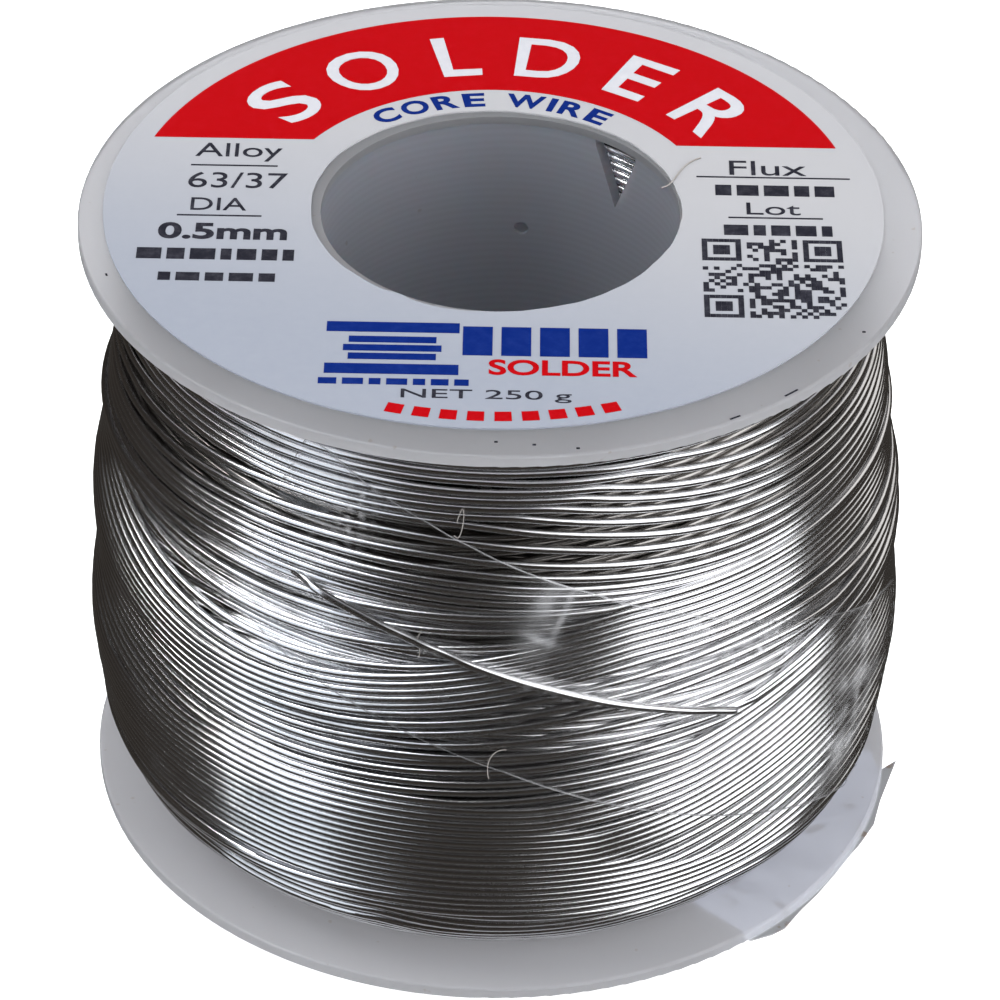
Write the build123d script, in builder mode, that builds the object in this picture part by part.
from build123d import *

import os
from math import atan, cos, exp, pi, radians, sin, tan

# Solder wire spool: a thin plastic spool of three welded pieces, full of fine
# solder wire, with a ring label on top, a torn sticker under the base and the
# wire's free end held down by a strip of clear tape.
#
# Frame: millimetres, +Z up along the bore. The origin is on the bore's axis,
# in the plane of the lower flange's underside. Azimuths are in degrees,
# counted from +X towards +Y, and the front of the spool is at -90.

os.makedirs("parts", exist_ok=True)

# ---------------------------------------------------------------- dimensions
flange_diameter = 50.0
flange_thickness = 0.8
spool_height = 40.0
rim_round = 0.15
bore_diameter = 21.3
barrel_wall = 0.7
seat_depth = 0.3
seat_clearance = 0.05

# V-shaped window in the barrel, just under the upper flange
window_azimuth = 49.0
window_width = 3.2
window_depth = 4.0

# Moulding gate mark: a small dimple on the bore's wall
gate_azimuth = 83.0
gate_drop = 7.2
gate_diameter = 0.9
gate_depth = 0.25

# Solder wire with one core of flux
wire_diameter = 0.5
flux_core_diameter = 0.2
flux_clearance = 0.005

# Outline of the winding, which bulges between its two ends
winding_rim_gap = 0.05
winding_base_shrink = 4.95
winding_top_shrink = 3.65
base_sharpness = 12
top_sharpness = 3
ripple_depth = 0.18
ripple_pitch = 9.0
ripple_crest_height = 12.6
outer_build_at_base = 2.0

# Ring label on the upper flange: its disc and its hole are both a little off centre
label_thickness = 0.1
label_rim_margin = 1.85
label_hole_margin = 0.35
label_offset = (-0.4, 0.7)
label_hole_offset = (-0.28, 0.22)

# Torn sticker under the lower flange
sticker_thickness = 0.1
sticker_azimuth = -34.0

# Strip of clear tape, which slants down from the left to the right
tape_width = 13.0
tape_thickness = 0.05
tape_stand_off = 0.05
tape_start_azimuth = -125.0
tape_end_azimuth = -15.0
tape_top_gap = 1.3
tape_bottom_gap = 3.0

# Free end of the wire, under the tape: distances along the strip from its left
# end, and across it from its middle line
tail_start_along = 4.8
tail_length_along = 28.0
tail_start_across = -1.2
tail_end_across = 0.8
tail_bow = 0.2
tail_stand_off = 0.05
tail_points = 12

# ------------------------------------------------------- derived dimensions
flange_radius = flange_diameter / 2
bore_radius = bore_diameter / 2
barrel_radius = bore_radius + barrel_wall
barrel_bottom = flange_thickness - seat_depth
barrel_top = spool_height - barrel_bottom
winding_bottom = flange_thickness
winding_top = spool_height - flange_thickness
winding_height = winding_top - winding_bottom
bulge_radius = flange_radius - winding_rim_gap
first_layer_radius = barrel_radius + wire_diameter
inner_winding_radius = bulge_radius - winding_base_shrink - outer_build_at_base
wire_radius = wire_diameter / 2
flux_core_radius = flux_core_diameter / 2


def winding_radius(height):
    """Radius of the outermost turns at a height: a bulge that drops away
    steeply at the base, tapers slowly to the top and carries slight waves."""
    share = (height - winding_bottom) / winding_height
    base_drop = winding_base_shrink * (1 - share) ** base_sharpness
    top_drop = winding_top_shrink * share**top_sharpness
    phase = 2 * pi * (height - ripple_crest_height) / ripple_pitch
    ripple = ripple_depth * sin(pi * share) ** 2 * cos(phase)
    return bulge_radius - base_drop - top_drop + ripple


# --------------------------------------------------------- the spool's body
# Each flange is a thin disc with a round hole. A shallow counterbore in its
# inner face takes the barrel's end, flush with the hole.
for flange_name, outer_height, inward in (("lower_flange", 0, 1), ("upper_flange", spool_height, -1)):
    outer_plane = Plane(origin=(0, 0, outer_height), x_dir=(1, 0, 0), z_dir=(0, 0, inward))
    with BuildPart() as flange:
        with BuildSketch(outer_plane):
            Circle(flange_radius)
            Circle(bore_radius, mode=Mode.SUBTRACT)
        extrude(amount=flange_thickness)
        rims = flange.edges().filter_by(GeomType.CIRCLE).sort_by(SortBy.RADIUS)[-2:]
        fillet(rims, radius=rim_round)
        with BuildSketch(outer_plane.offset(flange_thickness)):
            Circle(barrel_radius + seat_clearance)
        extrude(amount=-seat_depth, mode=Mode.SUBTRACT)
    flange.part.label = flange_name
    export_step(flange.part, f"parts/{flange_name}.step")

# The barrel is a plain tube with the V-shaped window and the gate mark.
with BuildPart() as barrel:
    with BuildSketch(Plane.XY.offset(barrel_bottom)):
        Circle(barrel_radius)
        Circle(bore_radius, mode=Mode.SUBTRACT)
    extrude(amount=barrel_top - barrel_bottom)
    window_outward = (cos(radians(window_azimuth)), sin(radians(window_azimuth)), 0)
    window_across = (-sin(radians(window_azimuth)), cos(radians(window_azimuth)), 0)
    with BuildSketch(Plane(origin=(0, 0, winding_top), x_dir=window_across, z_dir=window_outward)):
        with BuildLine():
            Polyline(
                (0, -window_depth),
                (window_width / 2, 0),
                (window_width / 2, flange_thickness),
                (-window_width / 2, flange_thickness),
                (-window_width / 2, 0),
                close=True,
            )
        make_face()
    extrude(amount=barrel_radius + barrel_wall, mode=Mode.SUBTRACT)
    gate_outward = (cos(radians(gate_azimuth)), sin(radians(gate_azimuth)), 0)
    with BuildSketch(Plane(origin=(0, 0, winding_top - gate_drop), z_dir=gate_outward)):
        Circle(gate_diameter / 2)
    extrude(amount=bore_radius + gate_depth, mode=Mode.SUBTRACT)
barrel.part.label = "barrel"
export_step(barrel.part, "parts/barrel.step")

# --------------------------------------------------------------- the winding
# The wire is one continuous length. Its first layer lies on the barrel, where
# the window shows it, the inner layers are hidden, and the outer layers carry
# the bulging outline. Each is a closed solid of its turns' outer shape.
with BuildPart() as first_wire_layer:
    with BuildSketch(Plane.XY.offset(winding_bottom)):
        Circle(first_layer_radius)
        Circle(barrel_radius, mode=Mode.SUBTRACT)
    extrude(amount=winding_height)
first_wire_layer.part.label = "first_wire_layer"
export_step(first_wire_layer.part, "parts/first_wire_layer.step")

with BuildPart() as inner_wire_layers:
    with BuildSketch(Plane.XY.offset(winding_bottom)):
        Circle(inner_winding_radius)
        Circle(first_layer_radius, mode=Mode.SUBTRACT)
    extrude(amount=winding_height)
inner_wire_layers.part.label = "inner_wire_layers"
export_step(inner_wire_layers.part, "parts/inner_wire_layers.step")

outline_points = 20
outline_heights = [winding_bottom + winding_height * i / outline_points for i in range(outline_points + 1)]
outline = [(winding_radius(height), height) for height in outline_heights]
with BuildPart() as outer_wire_layers:
    with BuildSketch(Plane.XZ):
        with BuildLine():
            Spline(*outline)
            Polyline(
                outline[-1],
                (inner_winding_radius, winding_top),
                (inner_winding_radius, winding_bottom),
                outline[0],
            )
        make_face()
    revolve(axis=Axis.Z)
outer_wire_layers.part.label = "outer_wire_layers"
export_step(outer_wire_layers.part, "parts/outer_wire_layers.step")

# ------------------------------------------------------- labels and sticker
with BuildPart() as top_label:
    with BuildSketch(Plane.XY.offset(spool_height)):
        with Locations(label_offset):
            Circle(flange_radius - label_rim_margin)
        with Locations(label_hole_offset):
            Circle(bore_radius + label_hole_margin, mode=Mode.SUBTRACT)
    extrude(amount=label_thickness)
top_label.part.label = "top_label"
export_step(top_label.part, "parts/top_label.step")

# The sticker's outline is drawn on the rim at its own azimuth: x points away
# from the bore and y runs along the rim. Its outer edge is torn and reaches
# past the rim in a pointed corner.
sticker_outward = Vector(cos(radians(sticker_azimuth)), sin(radians(sticker_azimuth)), 0)
sticker_origin = sticker_outward * flange_radius - Vector(0, 0, sticker_thickness)
with BuildPart() as base_sticker:
    with BuildSketch(Plane(origin=sticker_origin, x_dir=sticker_outward, z_dir=(0, 0, 1))):
        with BuildLine():
            Polyline(
                (-10.2, -5.8),
                (-1.0, -7.0),
                (-0.2, -5.7),
                (0.1, -4.8),
                (0.0, -2.7),
                (0.05, -0.9),
                (-0.05, 1.3),
                (-0.25, 3.5),
                (-0.3, 4.6),
                (-0.6, 6.9),
                (-1.5, 9.2),
                (-2.7, 13.1),
                (-3.1, 11.3),
                (-4.3, 12.6),
                (-11.5, 7.8),
                close=True,
            )
        make_face()
    extrude(amount=sticker_thickness)
base_sticker.part.label = "base_sticker"
export_step(base_sticker.part, "parts/base_sticker.step")

# ------------------------------------------------ the tape and the wire's end
# The strip is straight once unrolled. Its slant follows from the height and
# the sweep that it covers.
tape_start_height = winding_top - tape_top_gap - tape_width / 2
tape_end_height = winding_bottom + tape_bottom_gap + tape_width / 2
tape_sweep = bulge_radius * radians(tape_end_azimuth - tape_start_azimuth)
tape_slant = atan((tape_start_height - tape_end_height) / tape_sweep)
tape_length = tape_sweep / cos(tape_slant)


def on_winding(along, across, stand_off):
    """Point on the winding at a distance along the strip from its left end and
    across it from its middle line, raised above the turns by stand_off."""
    round_distance = along * cos(tape_slant) + across * sin(tape_slant)
    height = tape_start_height - along * sin(tape_slant) + across * cos(tape_slant)
    azimuth = radians(tape_start_azimuth) + round_distance / bulge_radius
    radius = winding_radius(height) + stand_off
    return Vector(radius * cos(azimuth), radius * sin(azimuth), height)


def tail_across(share):
    """Distance of the wire's end from the strip's middle line, for a share of
    its length: a straight run with a slight bow."""
    straight = tail_start_across + (tail_end_across - tail_start_across) * share
    return straight + tail_bow * sin(pi * share)


# The free end lies on the turns as straight runs joined by tangent arcs.
tail_shares = [i / (tail_points - 1) for i in range(tail_points)]
tail_route = [
    on_winding(
        tail_start_along + tail_length_along * share,
        tail_across(share),
        wire_radius + tail_stand_off,
    )
    for share in tail_shares
]
arc_share = 0.45
tail_arcs = []
for before, corner, after in zip(tail_route, tail_route[1:], tail_route[2:]):
    turn = (corner - before).get_angle(after - corner)
    shorter_run = min((corner - before).length, (after - corner).length)
    tail_arcs.append(arc_share * shorter_run / tan(radians(turn / 2)))
print("wire end: smallest arc radius", round(min(tail_arcs), 1), "mm")

with BuildPart() as wire_tail:
    with BuildLine() as tail_path:
        FilletPolyline(*tail_route, radius=tail_arcs)
    with BuildSketch(Plane(origin=tail_path.line @ 0, z_dir=tail_path.line % 0)):
        Circle(wire_radius)
        Circle(flux_core_radius + flux_clearance, mode=Mode.SUBTRACT)
    sweep()
wire_tail.part.label = "wire_tail"
export_step(wire_tail.part, "parts/wire_tail.step")

with BuildPart() as tail_flux_core:
    with BuildLine() as core_path:
        FilletPolyline(*tail_route, radius=tail_arcs)
    with BuildSketch(Plane(origin=core_path.line @ 0, z_dir=core_path.line % 0)):
        Circle(flux_core_radius)
    sweep()
tail_flux_core.part.label = "tail_flux_core"
export_step(tail_flux_core.part, "parts/tail_flux_core.step")

# The tape follows the turns and rises over the wire's end like a tent.
tent_half_width = 0.55
tape_columns = 90
tape_rows = 65


def tent(along, across):
    """Height of the tape's rise over the wire's end."""
    share = (along - tail_start_along) / tail_length_along
    beyond = max(0, -share, share - 1) * tail_length_along
    aside = across - tail_across(min(max(share, 0), 1))
    rise = wire_diameter + tail_stand_off
    return rise * exp(-(aside**2 + beyond**2) / tent_half_width**2)


def tape_face(stand_off):
    """Smooth face that follows the turns and the tent at a stand-off."""
    grid = []
    for column in range(tape_columns + 1):
        along = tape_length * column / tape_columns
        rows = [tape_width * (row / tape_rows - 0.5) for row in range(tape_rows + 1)]
        grid.append([on_winding(along, across, stand_off + tent(along, across)) for across in rows])
    return Face.make_surface_from_array_of_points(grid, tol=0.01, max_deg=3)


def matching_edge(edge, face):
    """The edge of a face whose middle is nearest to another edge's middle."""
    return min(face.edges(), key=lambda other: (other @ 0.5 - edge @ 0.5).length)


tape_inside = tape_face(tape_stand_off)
tape_outside = tape_face(tape_stand_off + tape_thickness)
tape_sides = [
    Face.make_surface_from_curves(edge, matching_edge(edge, tape_outside)) for edge in tape_inside.edges()
]
with BuildPart() as holding_tape:
    add(Solid(Shell([tape_inside, tape_outside, *tape_sides])))
holding_tape.part.label = "holding_tape"
export_step(holding_tape.part, "parts/holding_tape.step")
